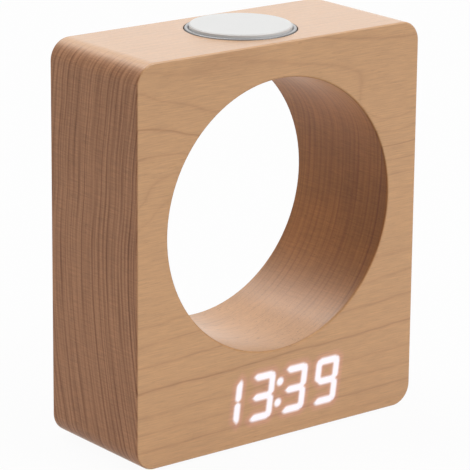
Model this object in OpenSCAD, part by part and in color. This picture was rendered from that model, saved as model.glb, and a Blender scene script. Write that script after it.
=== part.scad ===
// Wooden block alarm clock. Millimetres, +Z up, +Y to the back.
// The origin lies on the surface that the feet stand on, under the middle of the block.

/* [Block] */
// Width of the wooden block
block_w = 108; // [106:1:130]
// Height of the wooden block, without its feet
block_h = 125; // [124:1:150]
// Depth of the wooden block, front to back
block_d = 44; // [42:0.5:60]
// Radius of the four corners of the block's outline
corner_r = 6.6; // [5:0.2:9]
// Rounding of the block's long edges and of the opening's rims
edge_r = 0.6; // [0.3:0.1:1]
// Diameter of the round opening through the block
opening_d = 85.4; // [70:0.2:86]
// Wood between the opening and the top of the block, at its thinnest
top_band = 11.1; // [10.5:0.1:12.5]
// Wood under the pocket
pocket_floor = 2.5; // [2:0.1:3]
// Height of the pocket that is milled in from behind
pocket_h = 23.2; // [23:0.1:24]
// Wood left at each end of the pocket
pocket_side = 5.5; // [5:0.25:6]
// Side of the square wood blocks left in the pocket's corners
corner_block = 7; // [6:0.25:7.5]
// Thickness of the wood that the digits shine through
window_t = 1.2; // [0.8:0.1:2]

/* [Feet and lead channel] */
// Diameter of a rubber foot
foot_d = 8; // [6:0.5:10]
// How far a foot stands out of the wood
foot_proud = 0.8; // [0.5:0.1:1.5]
// How deep a foot sits in the wood
foot_sunk = 1; // [0.6:0.1:1.4]
// Distance of a foot's centre from the block's side
foot_inset_x = 14; // [13:0.5:20]
// Distance of a foot's centre from the front or back face
foot_inset_y = 8.5; // [7:0.5:12]
// Diameter of the drilled channel for the button's lead
channel_d = 4.5; // [3.5:0.25:5]
// Distance of the channel in front of the block's middle
channel_off = 9; // [7:0.25:9]
// Slope of the upper drilling above the horizontal
channel_slope = 16; // [14:0.5:18]
// Length of the dowel that closes the channel under the block
plug_l = 4; // [3:0.5:6]

/* [Top button] */
// Place of the button to the right of the block's middle
button_x = 1.6; // [-3:0.1:3]
// Place of the button behind the block's middle
button_y = 0.6; // [-2:0.1:2]
// Diameter of the flat cap
cap_d = 31.6; // [26:0.2:33]
// How far the cap stands above the wood
cap_proud = 1.4; // [0.8:0.1:2]
// Thickness of the cap's disc
cap_t = 2.4; // [1.8:0.1:2.6]
// Chamfer round the cap's top edge
cap_chamfer = 0.35; // [0.1:0.05:0.6]
// How far the cap travels when it is pushed
button_travel = 0.6; // [0.3:0.1:0.8]
// Gap between the cap and the bezel all round
cap_gap = 0.2; // [0.15:0.05:0.4]
// Width of the bezel's visible ring
bezel_w = 1.2; // [0.8:0.1:2]
// How far the bezel stands above the wood
bezel_proud = 0.3; // [0.1:0.1:0.6]
// Gap between the bezel and the wood all round
bezel_gap = 0.3; // [0.1:0.05:0.5]
// Depth of the round seat that is milled into the top
seat_depth = 8.5; // [8.2:0.1:8.8]
// Thickness of the cup's floor
cup_floor = 1.4; // [1:0.1:1.8]
// Depth of the bezel below the top of the block
bezel_depth = 4.5; // [4.2:0.1:4.8]
// Depth of the bezel's lip, which keeps the cap in
lip_depth = 2.2; // [1.8:0.1:2.4]
// Wire of the return spring
spring_wire = 0.6; // [0.4:0.1:0.8]
// Mean diameter of the return spring
spring_d = 11; // [10:0.5:13]
// Turns of the return spring
spring_turns = 3; // [2:0.5:4]

/* [Display] */
// Width of the display's body
display_w = 50.3; // [50:0.1:54]
// Height of the display's body
display_h = 19; // [17:0.1:20]
// Depth of the display's body with its own board
display_d = 8; // [6:0.5:10]
// Height of the display's middle above the block's bottom
display_up = 14.4; // [14:0.1:14.6]
// Place of the display to the right of the block's middle
display_x = 0.3; // [-1:0.1:1]
// Thickness of the light film in front of the display
film_t = 0.3; // [0.1:0.1:0.5]
// Height of a digit
digit_h = 14.2; // [12:0.1:14.6]
// Width of a digit
digit_w = 7.8; // [6.5:0.1:8.4]
// Distance between digits
digit_pitch = 12.7; // [12:0.1:13]
// Width of a segment
stroke = 1.9; // [1.2:0.1:2.2]
// Gap between neighbouring segments, along their ends
segment_gap = 0.25; // [0.15:0.05:0.5]
// Lean of the digits
slant = 8.5; // [0:0.5:12]
// Diameter of a colon dot
dot_d = 1.9; // [1.4:0.1:2.4]
// Distance of a colon dot above or below the display's middle
dot_rise = 3.3; // [2.5:0.1:4.5]
// Thickness of the circuit board inside the display
substrate_t = 1; // [0.8:0.1:1.6]

/* [Boards] */
// Thickness of a circuit board
board_t = 1.6; // [1:0.1:2]
// Clearance of the main board between the corner blocks, at each end
board_end_clear = 0.5; // [0.3:0.1:2]
// Clearance of a board above and below, in the pocket
board_clear = 0.4; // [0.2:0.1:0.8]
// Width of the key board and of the power board
side_board_w = 14; // [13.8:0.1:14.4]
// Distance from the inner face of the back plate to the boards behind it
side_board_gap = 6.5; // [6:0.1:8]

/* [Back] */
// How far the back plate lies below the block's back face
plate_sunk = 0.8; // [0.6:0.1:1.2]
// Thickness of the back plate
plate_t = 2; // [1.6:0.1:2.4]
// How far the back plate reaches over the wood at each end
plate_lap = 2; // [1.5:0.1:2.5]
// Clearance of the back plate in the wood
plate_clear = 0.1; // [0.05:0.05:0.3]
// Corner radius of the back plate
plate_r = 3; // [2:0.1:3]
// Diameter of a key
key_d = 4.6; // [3.6:0.1:5]
// Distance between keys
key_pitch = 7; // [6.8:0.1:7.2]
// Travel of a key
key_travel = 0.3; // [0.2:0.05:0.5]
// How far a key and the alarm knob stand out of the back plate
key_proud = 0.5; // [0.2:0.1:0.6]
// Clearance of a key in its hole, all round
key_clear = 0.1; // [0.05:0.01:0.1]
// Travel of the alarm knob between off and on
knob_travel = 2; // [1.5:0.1:2.5]
// Width of the alarm knob
knob_w = 2; // [1.6:0.1:2.4]
// Width of the USB inlet's shell
usb_w = 8.94; // [8.5:0.02:9.2]
// Height of the USB inlet's shell
usb_h = 3.26; // [3:0.02:3.4]

/* [Battery compartment] */
// Diameter of a battery cell
cell_d = 10.3; // [10:0.1:10.4]
// Length of a battery cell
cell_l = 44.5; // [43:0.5:45]
// Room for the contacts at each end of a cell
contact_room = 2; // [1.8:0.1:2.4]
// Wall of the compartment
box_wall = 0.9; // [0.7:0.1:1]
// Thickness of the battery door
door_t = 1.6; // [1.2:0.1:1.8]
// Clearance round the battery door
door_clear = 0.15; // [0.1:0.05:0.3]
// Diameter of the battery door's hinge pins
hinge_pin_d = 1; // [0.8:0.05:1.1]
// Clearance of a hinge pin in its hole, all round
hinge_clear = 0.05; // [0.03:0.01:0.1]

/* [Hidden] */

$fn = 64;
slip = 0.05;          // clearance of fixed pieces that sit in each other
reach = 1;            // how far a cutter runs past the face that it opens
nearly = 0.01;        // what a full end rounding stops short by

// Fasteners
screw_d = 2;
screw_head_d = 3.6;
screw_head_t = 1.2;
screw_slot_t = 0.5;
screw_slot_l = 2;
screw_play = 0.1;     // clearance of a shank in a hole that it passes, all round
head_play = 0.2;      // clearance of a screw's head in its counterbore, all round
hole_past = 0.5;      // how far a screw's hole runs past its end
rest_gap = 0.1;       // gap between a moving piece at rest and what stops it
housing_bite = 8;     // how deep each kind of screw holds
board_bite = 4.5;
panel_bite = 4;
cup_bite = 2.6;

// Block
front_y = -block_d / 2;
back_y = block_d / 2;
bottom_z = foot_proud;
top_z = bottom_z + block_h;
mid_z = bottom_z + block_h / 2;
opening_r = opening_d / 2;
opening_z = top_z - top_band - opening_r;
pocket_half = block_w / 2 - pocket_side;
pocket_z0 = bottom_z + pocket_floor;
pocket_z1 = pocket_z0 + pocket_h;
pocket_mid = (pocket_z0 + pocket_z1) / 2;
film_y = front_y + window_t;
display_y = film_y + film_t;
shoulder_y = display_y + display_d;
board_back_y = shoulder_y + board_t;
display_z = bottom_z + display_up;
display_clear = 0.2;
foot_x = block_w / 2 - foot_inset_x;
foot_y = block_d / 2 - foot_inset_y;
foot_bevel = 0.5;

// Lead channel: one drilling up the left limb, one sloping up to the button's seat
limb_x = -(block_w / 2 + opening_r) / 2;
channel_y = -channel_off;
slope_bore_d = channel_d - 0.5;
slope_bore_in = 3;                            // how far the sloping drilling runs into the seat

// Button, from the top of the block down
bezel_bore_r = cap_d / 2 + cap_gap;
bezel_r = bezel_bore_r + bezel_w;
seat_r = bezel_r + bezel_gap;
seat_z = top_z - seat_depth;
cup_floor_z = seat_z + cup_floor;
rest_h = 0.5;                                 // pads under the button's board
button_board_z = cup_floor_z + rest_h;
button_board_t = 1;
button_board_clear = 0.5;
button_board_top = button_board_z + button_board_t;
cap_top = top_z + cap_proud;
cap_under = cap_top - cap_t;
cup_rim_z = top_z - bezel_depth;
cup_bore_r = bezel_bore_r - 1;
cup_screw_r = cup_bore_r - screw_head_d / 2 - 0.2;
cup_rest_d = 3;                               // the pads, and how far they lie from the middle
cup_rest_r = 8;
flange_w = 1;
flange_t = 1;
flange_top = top_z - lip_depth - rest_gap;
flange_r = bezel_bore_r + 0.35;
flange_clear = 0.15;
lead_d = 1.2;
switch_side = 6;
button_switch_h = 3.1;
plunger_d = 3.3;
plunger_h = 0.6;
cap_stem_d = 4.4;
button_switch_top = button_board_top + button_switch_h;
plunger_top = button_switch_top + plunger_h;
seat_entry_y = channel_y - button_y;
seat_entry_x = button_x - sqrt(seat_r * seat_r - seat_entry_y * seat_entry_y);
seat_entry_z = button_board_top + 0.3;
elbow_z = seat_entry_z - (seat_entry_x - limb_x) * tan(channel_slope);

// Back plate
plate_y = back_y - plate_sunk;
plate_in_y = plate_y - plate_t;
plate_half = pocket_half + plate_lap - plate_clear;
plate_h = pocket_h - 2 * plate_clear;
block_screw_x = pocket_half - corner_block / 2;
block_screw_z = [pocket_z0 + corner_block / 2, pocket_z1 - corner_block / 2];

// Battery compartment
cell_gap = 0.1;
cell_step = cell_d + cell_gap;
box_in_h = cell_d + cell_step + 2 * cell_gap;
box_in_half = cell_l / 2 + contact_room;
box_half = box_in_half + box_wall;
door_in_y = plate_y - door_t;
door_gap = 0.3;       // between the door and the nearer cells
cell_y = [door_in_y - door_gap - cell_d / 2, door_in_y - door_gap - cell_d / 2 - cell_step];
cell_z = [pocket_mid - cell_step / 2, pocket_mid + cell_step / 2];
box_front_y = cell_y[1] - cell_d / 2 - cell_gap - box_wall;
cell_tip_d = 3.8;
cell_tip_l = 0.8;
contact_t = 0.4;
contact_side = cell_d - 2;
contact_pip_d = 3;
contact_wire = 0.5;
contact_turns = 2;
contact_r0 = 2.8;     // a contact spring's radius at its plate and at its cell
contact_r1 = 2.2;
battery_lead_arch = 1.8;                      // how far its lead stands off the socket

// Battery door and its hinge at the left end
door_h = box_in_h - 2 * door_clear;
hinge_x = -box_in_half + door_t / 2 + door_clear;
hinge_y = plate_y - door_t / 2;
hinge_pin_l = 0.6;
door_end_x = box_in_half - door_clear;
finger_d = 9;         // the hollow for a fingertip at the door's free end
finger_deep = 0.8;
finger_in = 1;

// Boards behind the back plate
side_board_y = plate_in_y - side_board_gap;
side_board_clear = 1.2;
side_board_mid = box_half + side_board_clear + side_board_w / 2;
side_board_h = pocket_h - 2 * board_clear;
key_in = 0.45;        // the keys' distance inboard of their board's middle
inlet_in = 1.85;      // the inlet's and the alarm switch's, likewise
key_x = side_board_mid - key_in;
inlet_x = inlet_in - side_board_mid;
key_z = [for (i = [-1:1]) pocket_mid + i * key_pitch];
key_switch_h = 3.5;
key_switch_y = side_board_y + key_switch_h;
collar_back_y = plate_in_y - rest_gap;
collar_t = 1;
collar_d = 6.2;
boss_d = 3.2;
boss_edge = 1.9;      // distance of a boss's middle from its board's end
outer_boss_z = 2.7;   // distance of the outer bosses above and below the middle
usb_z = pocket_mid - 6;
usb_wall = 0.3;
usb_play = 0.15;
usb_sunk = 0.4;
usb_back_t = 1;
usb_tongue_t = 0.7;
usb_tongue_side = 1.1;
usb_tongue_sunk = 1.2;
knob_z = pocket_mid + 5.4;
knob_h = 1.8;
knob_play = 0.15;
knob_flag_t = 0.6;
knob_flag_side = 1.5; // how far the knob's flag covers its slot at each end
knob_flag_h = 3.2;
knob_rib = 0.2;
knob_rib_step = 0.3;  // as a part of the knob's width
alarm_switch_h = 3.6;
alarm_switch_w = 8.6;
alarm_switch_l = 4;

function polar(r, a) = [r * cos(a), r * sin(a)];
function unit(v) = v / norm(v);

// A flat shape drawn in X and Z, made solid from y0 to y1.
module along_y(y0, y1) {
    translate([0, y1, 0]) rotate([90, 0, 0]) linear_extrude(y1 - y0) children();
}

module rounded_rect(w, h, r) {
    square([w - 2 * r, h], center = true);
    square([w, h - 2 * r], center = true);
    for (x = [-1, 1], z = [-1, 1]) translate([x * (w / 2 - r), z * (h / 2 - r)]) circle(r = r);
}

// A box given by its middle in X and Z and its two faces in Y.
module slab(x, z, w, h, y0, y1) {
    translate([x - w / 2, y0, z - h / 2]) cube([w, y1 - y0, h]);
}

module rod_y(x, z, d, y0, y1) {
    translate([x, y1, z]) rotate([90, 0, 0]) cylinder(d = d, h = y1 - y0);
}

// A cross-head screw that points down -Z from the underside of its head.
module screw(shank_l) {
    difference() {
        cylinder(d = screw_head_d, h = screw_head_t);
        for (a = [0, 90]) rotate([0, 0, a])
            translate([-screw_slot_l / 2, -screw_slot_t / 2, screw_head_t / 2])
                cube([screw_slot_l, screw_slot_t, screw_head_t]);
    }
    translate([0, 0, -shank_l]) cylinder(d = screw_d, h = shank_l);
}

// The same screw driven in from the back, with the underside of its head at y.
module screw_y(x, z, y, shank_l) {
    translate([x, y, z]) rotate([-90, 0, 0]) screw(shank_l);
}

// A round wire along a list of points, as rings of flat sides.
module wire(points, d, sides) {
    count = len(points);
    function along(i) = unit(points[min(i + 1, count - 1)] - points[max(i - 1, 0)]);
    function side(i) = let (t = along(i), up = abs(t[2]) > 0.9 ? [0, 1, 0] : [0, 0, 1]) unit(cross(t, up));
    rings = [for (i = [0:count - 1], k = [0:sides - 1])
        let (u = side(i), v = cross(u, along(i)), p = polar(d / 2, 360 * k / sides))
        points[i] + u * p[0] + v * p[1]];
    walls = [for (i = [0:count - 2], k = [0:sides - 1])
        let (n = (k + 1) % sides) [i * sides + k, i * sides + n, (i + 1) * sides + n, (i + 1) * sides + k]];
    first = [for (k = [0:sides - 1]) sides - 1 - k];
    last = [for (k = [0:sides - 1]) (count - 1) * sides + k];
    polyhedron(points = rings, faces = concat(walls, [first, last]));
}

// ---- Block ----

// What a rounding takes off a square edge at the origin, with the solid at +X and +Y.
module edge_section() {
    difference() {
        translate([-reach, -reach]) square(edge_r + reach);
        translate([edge_r, edge_r]) circle(r = edge_r);
    }
}

// Rounds the outline's front edges; drawn about the block's middle.
module outline_edge_cut() {
    straight_x = block_w - 2 * corner_r;
    straight_z = block_h - 2 * corner_r;
    for (mx = [0, 1]) mirror([mx, 0, 0]) linear_extrude(straight_z, center = true)
        translate([-block_w / 2, front_y]) edge_section();
    for (mz = [0, 1]) mirror([0, 0, mz]) rotate([90, 0, 90]) linear_extrude(straight_x, center = true)
        translate([front_y, -block_h / 2]) edge_section();
    for (mx = [0, 1], mz = [0, 1]) mirror([mx, 0, 0]) mirror([0, 0, mz])
        translate([corner_r - block_w / 2, 0, corner_r - block_h / 2])
            rotate([-90, 0, 0]) rotate([0, 0, 90]) rotate_extrude(angle = 90)
                translate([corner_r, front_y]) mirror([1, 0]) edge_section();
}

module opening_rim_cut() {
    rotate([-90, 0, 0]) rotate_extrude($fn = 128) translate([opening_r, front_y]) edge_section();
}

module pocket_outline() {
    difference() {
        translate([0, pocket_mid]) square([2 * pocket_half, pocket_h], center = true);
        for (x = [-1, 1], z = [-1, 1])
            translate([x * (pocket_half - corner_block / 2), pocket_mid + z * (pocket_h - corner_block) / 2])
                square(corner_block + 0.001, center = true);
    }
}

module block_form() {
    along_y(front_y, back_y) translate([0, mid_z]) rounded_rect(block_w, block_h, corner_r);
}

module lead_channel() {
    translate([limb_x, channel_y, bottom_z - reach])
        cylinder(d = channel_d, h = elbow_z + channel_d / 2 - bottom_z + reach);
    translate([limb_x, channel_y, elbow_z]) rotate([0, 90 - channel_slope, 0])
        cylinder(d = slope_bore_d, h = (seat_entry_x + slope_bore_in - limb_x) / cos(channel_slope));
    // Its mouth into the pocket's end
    translate([limb_x, channel_y - channel_d / 2, pocket_mid - channel_d / 2])
        cube([corner_block - pocket_half - limb_x, channel_d, channel_d]);
}

module wood_block() {
    color("burlywood") difference() {
        block_form();
        translate([0, 0, mid_z]) for (my = [0, 1]) mirror([0, my, 0]) outline_edge_cut();
        along_y(front_y - reach, back_y + reach) translate([0, opening_z]) circle(r = opening_r, $fn = 128);
        translate([0, 0, opening_z]) for (my = [0, 1]) mirror([0, my, 0]) opening_rim_cut();
        along_y(shoulder_y, back_y + reach) pocket_outline();
        along_y(plate_in_y, back_y + reach) translate([0, pocket_mid])
            rounded_rect(2 * (plate_half + plate_clear), pocket_h, plate_r);
        slab(display_x, display_z, display_w + 2 * display_clear, display_h + 2 * display_clear, film_y,
            shoulder_y + reach);
        translate([button_x, button_y, seat_z]) cylinder(r = seat_r, h = seat_depth + reach);
        lead_channel();
        for (x = [-1, 1], y = [-1, 1]) translate([x * foot_x, y * foot_y, bottom_z - reach])
            cylinder(d = foot_d + 2 * slip, h = foot_sunk + reach);
        for (x = [-1, 1], z = block_screw_z)
            rod_y(x * block_screw_x, z, screw_d + 2 * slip, plate_in_y - housing_bite - hole_past,
                plate_in_y + reach);
        for (x = [-1, 1], z = board_screw_z)
            rod_y(x * board_screw_x, z, screw_d + 2 * slip, shoulder_y - board_bite - hole_past,
                shoulder_y + reach);
        for (x = [-1, 1]) translate([button_x + x * cup_screw_r, button_y, seat_z - cup_bite - hole_past])
            cylinder(d = screw_d + 2 * slip, h = cup_bite + hole_past + reach);
    }
}

module channel_plug() {
    color("tan") intersection() {
        translate([limb_x, channel_y, bottom_z - reach])
            cylinder(d = channel_d - 2 * slip, h = plug_l + reach);
        block_form();
    }
}

module feet() {
    color("dimgray") for (x = [-1, 1], y = [-1, 1]) translate([x * foot_x, y * foot_y, 0]) {
        cylinder(d1 = foot_d - 2 * foot_bevel, d2 = foot_d, h = foot_bevel);
        translate([0, 0, foot_bevel]) cylinder(d = foot_d, h = foot_proud + foot_sunk - foot_bevel);
    }
}

// ---- Display ----

// Segments are named as usual: a on top, then clockwise to f, with g in the middle.
half_w = (digit_w - stroke) / 2;
half_h = (digit_h - stroke) / 2;
ALL_SEGMENTS = "abcdefg";
LIT = ["bc", "abcdg", "abcdg", "abcdfg"];
digit_x = [for (i = [0:3]) display_x + (i - 1.5) * digit_pitch];

function leaned(p) = [p[0] + p[1] * tan(slant), p[1]];
// The two ends of a segment's middle line.
function segment_line(s) =
    s == "a" ? [[-half_w, half_h], [half_w, half_h]] :
    s == "b" ? [[half_w, 0], [half_w, half_h]] :
    s == "c" ? [[half_w, -half_h], [half_w, 0]] :
    s == "d" ? [[-half_w, -half_h], [half_w, -half_h]] :
    s == "e" ? [[-half_w, -half_h], [-half_w, 0]] :
    s == "f" ? [[-half_w, 0], [-half_w, half_h]] : [[-half_w, 0], [half_w, 0]];
function segment_points(s) = let (
        line = segment_line(s), t = unit(line[1] - line[0]), n = [-t[1], t[0]], h = stroke / 2,
        p = line[0] + t * segment_gap, q = line[1] - t * segment_gap)
    [p, p + (t + n) * h, q - (t - n) * h, q, q - (t + n) * h, p + (t - n) * h];

module segment(digit, s) {
    translate([digit_x[digit], display_z]) polygon([for (p = segment_points(s)) leaned(p)]);
}

module colon() {
    for (z = [-1, 1])
        translate([display_x + z * dot_rise * tan(slant), display_z + z * dot_rise]) circle(d = dot_d);
}

module segments(lit) {
    for (digit = [0:3], s = ALL_SEGMENTS)
        if ((len(search(s, LIT[digit])) > 0) == lit) segment(digit, s);
    if (lit) colon();
}

substrate_y = shoulder_y - substrate_t;
substrate_inset = 0.3;
led_t = 0.4;
led_side = 0.8;

module light_film() {
    color("whitesmoke") slab(display_x, display_z, display_w, display_h, film_y, display_y);
}

module display_reflector() {
    color("white") difference() {
        slab(display_x, display_z, display_w, display_h, display_y, substrate_y);
        along_y(display_y - reach, substrate_y + reach) { segments(true); segments(false); }
    }
}

module lit_segments() {
    color("snow") along_y(display_y, substrate_y - led_t - slip) segments(true);
}

module dark_segments() {
    color("gainsboro") along_y(display_y, substrate_y - led_t - slip) segments(false);
}

module led_chips() {
    color("gold") {
        for (digit = [0:3], s = ALL_SEGMENTS) {
            line = segment_line(s);
            p = leaned((line[0] + line[1]) / 2);
            slab(digit_x[digit] + p[0], display_z + p[1], led_side, led_side, substrate_y - led_t,
                substrate_y);
        }
        for (z = [-1, 1]) slab(display_x + z * dot_rise * tan(slant), display_z + z * dot_rise,
            led_side, led_side, substrate_y - led_t, substrate_y);
    }
}

module display_substrate() {
    color("darkgreen") slab(display_x, display_z, display_w - 2 * substrate_inset,
        display_h - 2 * substrate_inset, substrate_y, shoulder_y);
}

pin_rise = 7.62;
pin_pitch = 2.54;
pin_x = [for (i = [0:5]) display_x + (i - 2.5) * pin_pitch];
pin_d = 0.5;
pin_play = 0.05;
pin_proud = 0.8;

module display_pins() {
    color("silver") for (x = pin_x, z = [-1, 1])
        rod_y(x, display_z + z * pin_rise, pin_d, shoulder_y, board_back_y + pin_proud);
}

// ---- Main board ----

board_w = 2 * (pocket_half - corner_block - board_end_clear);
board_h = pocket_h - 2 * board_clear;
board_screw_edge = 3;
board_screw_x = board_w / 2 - board_screw_edge;
board_screw_z = [pocket_mid - board_h / 2 + board_screw_edge, pocket_mid + board_h / 2 - board_screw_edge];

module main_board() {
    color("darkgreen") difference() {
        slab(0, pocket_mid, board_w, board_h, shoulder_y, board_back_y);
        for (x = pin_x, z = [-1, 1])
            rod_y(x, display_z + z * pin_rise, pin_d + 2 * pin_play, shoulder_y - reach,
                board_back_y + reach);
        for (x = [-1, 1], z = board_screw_z)
            rod_y(x * board_screw_x, z, screw_d + 2 * screw_play, shoulder_y - reach, board_back_y + reach);
    }
}

module board_screws() {
    color("silver") for (x = [-1, 1], z = board_screw_z)
        screw_y(x * board_screw_x, z, board_back_y, board_t + board_bite);
}

// Distances of the components' middles from the main board's left end
button_socket_end = 4;
capacitor_end = 12;
battery_socket_end = 13;
crystal_end = 18.5;
clock_chip_end = 28;
// and from its right end
driver_chip_end = 32;
regulator_end = 21;
buzzer_end = 5.5;
button_socket_x = button_socket_end - board_w / 2;
battery_socket_x = battery_socket_end - board_w / 2;
socket_z = pocket_mid - 4;
socket_l = 4;
socket_w = 5;
socket_h = 4.2;
socket_wall = 0.6;
capacitor_z = pocket_mid + 6;
capacitor_d = 5;
capacitor_l = 5.4;
capacitor_base = 5.2;
capacitor_base_t = 0.8;
crystal_w = 3.6;
crystal_l = 8;
crystal_t = 2;
crystal_r = 1.5;
buzzer_d = 9;
buzzer_l = 4.5;
buzzer_hole_d = 2;
leg_w = 0.4;
leg_l = 0.9;
leg_rise = 0.9;
leg_lap = 0.05;       // how far a leg reaches into its chip
chip_lift = 0.1;
clock_chip_w = 10.3;
clock_chip_h = 7.5;
clock_chip_t = 2.3;
driver_chip_w = 9.9;
driver_chip_h = 3.9;
driver_chip_t = 1.7;
regulator_w = 3;
regulator_h = 1.7;
regulator_t = 1.3;

// A chip with a row of legs along its top and bottom edges.
module chip(x, w, h, t, legs) {
    pitch = w / legs;
    leg_z = h / 2 + leg_l / 2 - leg_lap;
    slab(x, pocket_mid, w, h, board_back_y + chip_lift, board_back_y + t);
    for (i = [0:legs - 1], s = [-1, 1])
        slab(x + (i - (legs - 1) / 2) * pitch, pocket_mid + s * leg_z, leg_w, leg_l, board_back_y,
            board_back_y + leg_rise);
}

module clock_chip() {
    color("#222222") chip(clock_chip_end - board_w / 2, clock_chip_w, clock_chip_h, clock_chip_t, 8);
}

module driver_chip() {
    color("#222222") chip(board_w / 2 - driver_chip_end, driver_chip_w, driver_chip_h, driver_chip_t, 8);
}

module regulator() {
    color("#222222") chip(board_w / 2 - regulator_end, regulator_w, regulator_h, regulator_t, 3);
}

module crystal() {
    color("silver") along_y(board_back_y, board_back_y + crystal_t)
        translate([crystal_end - board_w / 2, pocket_mid]) rounded_rect(crystal_w, crystal_l, crystal_r);
}

module capacitor() {
    x = capacitor_end - board_w / 2;
    color("slategray") {
        slab(x, capacitor_z, capacitor_base, capacitor_base, board_back_y, board_back_y + capacitor_base_t);
        rod_y(x, capacitor_z, capacitor_d, board_back_y + capacitor_base_t, board_back_y + capacitor_l);
    }
}

module buzzer() {
    x = board_w / 2 - buzzer_end;
    top = board_back_y + buzzer_l;
    color("#2b2b2b") difference() {
        rod_y(x, pocket_mid, buzzer_d, board_back_y, top);
        rod_y(x, pocket_mid, buzzer_hole_d, top - reach, top + reach);
    }
}

module lead_sockets() {
    color("ivory") for (x = [button_socket_x, battery_socket_x]) difference() {
        slab(x, socket_z, socket_w, socket_h, board_back_y, board_back_y + socket_l);
        slab(x, socket_z, socket_w - 2 * socket_wall, socket_h - 2 * socket_wall, board_back_y + 1,
            board_back_y + socket_l + reach);
    }
}

// ---- Back ----

module box_outer() {
    slab(0, pocket_mid, 2 * box_half, box_in_h + 2 * box_wall, box_front_y, plate_in_y);
}

module box_inner(y1) {
    slab(0, pocket_mid, 2 * box_in_half, box_in_h, box_front_y + box_wall, y1);
}

module key_bosses() {
    outer_x = side_board_mid + side_board_w / 2 - boss_edge;
    inner_x = side_board_mid - side_board_w / 2 + boss_edge;
    for (p = [[outer_x, -outer_boss_z], [outer_x, outer_boss_z], [inner_x, -key_pitch / 2]])
        translate([p[0], 0, pocket_mid + p[1]]) children();
}

module power_bosses() {
    for (x = [-1, 1])
        translate([-side_board_mid + x * (side_board_w / 2 - boss_edge), 0, pocket_mid]) children();
}

module bosses_of(side) {
    if (side > 0) key_bosses() children();
    else power_bosses() children();
}

module back_housing() {
    color("#303030") difference() {
        union() {
            along_y(plate_in_y, plate_y) translate([0, pocket_mid])
                rounded_rect(2 * plate_half, plate_h, plate_r);
            box_outer();
            for (side = [-1, 1]) bosses_of(side) rod_y(0, 0, boss_d, side_board_y, plate_in_y);
        }
        box_inner(back_y + reach);
        // Hinge holes above and below the door's left end
        translate([hinge_x, hinge_y, pocket_mid - door_h / 2 - hinge_pin_l - slip])
            cylinder(d = hinge_pin_d + 2 * hinge_clear, h = door_h + 2 * (hinge_pin_l + slip));
        for (z = key_z) rod_y(key_x, z, key_d + 2 * key_clear, plate_in_y - reach, back_y + reach);
        along_y(plate_in_y - reach, back_y + reach) translate([inlet_x, usb_z])
            rounded_rect(usb_w + 2 * usb_play, usb_h + 2 * usb_play, usb_h / 2 + usb_play - nearly);
        slab(inlet_x, knob_z, knob_w + knob_travel + 2 * knob_play, knob_h + 2 * knob_play,
            plate_in_y - reach, back_y + reach);
        for (side = [-1, 1]) bosses_of(side)
            rod_y(0, 0, screw_d + 2 * slip, side_board_y - reach, plate_in_y);
        for (x = [-1, 1], z = block_screw_z) {
            rod_y(x * block_screw_x, z, screw_d + 2 * screw_play, plate_in_y - reach, back_y + reach);
            rod_y(x * block_screw_x, z, screw_head_d + 2 * head_play, plate_y - screw_head_t,
                back_y + reach);
        }
    }
}

module housing_screws() {
    color("silver") for (x = [-1, 1], z = block_screw_z)
        screw_y(x * block_screw_x, z, plate_y - screw_head_t, plate_t - screw_head_t + housing_bite);
}

// A small board, cut away at its outer corners where the wood's corner blocks reach it.
module side_board(side) {
    front = side_board_y - board_t;
    notch = corner_block + board_clear;
    difference() {
        slab(side * side_board_mid, pocket_mid, side_board_w, side_board_h, front, side_board_y);
        for (z = [-1, 1])
            slab(side * (pocket_half - notch / 2 + reach / 2),
                pocket_mid + z * (pocket_h - notch + reach) / 2, notch + reach, notch + reach,
                front - reach, side_board_y + reach);
        bosses_of(side) rod_y(0, 0, screw_d + 2 * screw_play, front - reach, side_board_y + reach);
    }
}

module key_board() { color("darkgreen") side_board(1); }
module power_board() { color("darkgreen") side_board(-1); }

// Screws that hold the two small boards to the bosses, driven from inside.
module panel_screws() {
    color("silver") for (side = [-1, 1]) bosses_of(side)
        translate([0, side_board_y - board_t, 0]) rotate([90, 0, 0]) screw(board_t + panel_bite);
}

module key_switches() {
    color("#2b2b2b") for (z = key_z) slab(key_x, z, switch_side, switch_side, side_board_y, key_switch_y);
}

// A key with the collar that keeps it in, and the switch's stem under it.
module key(i) {
    rod_y(key_x, key_z[i], key_d, collar_back_y, plate_y + key_proud);
    rod_y(key_x, key_z[i], collar_d, collar_back_y - collar_t, collar_back_y);
    rod_y(key_x, key_z[i], plunger_d, key_switch_y + key_travel + rest_gap, collar_back_y - collar_t);
}

module set_key() { color("dimgray") key(2); }
module up_key() { color("dimgray") key(1); }
module down_key() { color("dimgray") key(0); }

module alarm_switch() {
    color("#2b2b2b") slab(inlet_x, knob_z, alarm_switch_w, alarm_switch_l, side_board_y,
        side_board_y + alarm_switch_h);
}

// Drawn at off, at the left end of its slot.
module alarm_knob() {
    knob_x = inlet_x - knob_travel / 2;
    knob_top_y = plate_y + key_proud;
    flag_back_y = plate_in_y - 2 * rest_gap;
    color("dimgray") {
        difference() {
            slab(knob_x, knob_z, knob_w, knob_h, side_board_y + alarm_switch_h + rest_gap, knob_top_y);
            for (i = [-1:1]) slab(knob_x + i * knob_w * knob_rib_step, knob_z, knob_rib, knob_h + reach,
                knob_top_y - knob_rib, knob_top_y + reach);
        }
        slab(knob_x, knob_z, knob_w + 2 * knob_flag_side, knob_flag_h, flag_back_y - knob_flag_t,
            flag_back_y);
    }
}

module usb_shell() {
    color("silver") difference() {
        along_y(side_board_y, plate_y - usb_sunk) translate([inlet_x, usb_z])
            rounded_rect(usb_w, usb_h, usb_h / 2 - nearly);
        along_y(side_board_y + usb_back_t, back_y) translate([inlet_x, usb_z])
            rounded_rect(usb_w - 2 * usb_wall, usb_h - 2 * usb_wall, usb_h / 2 - usb_wall - nearly);
    }
}

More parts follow.
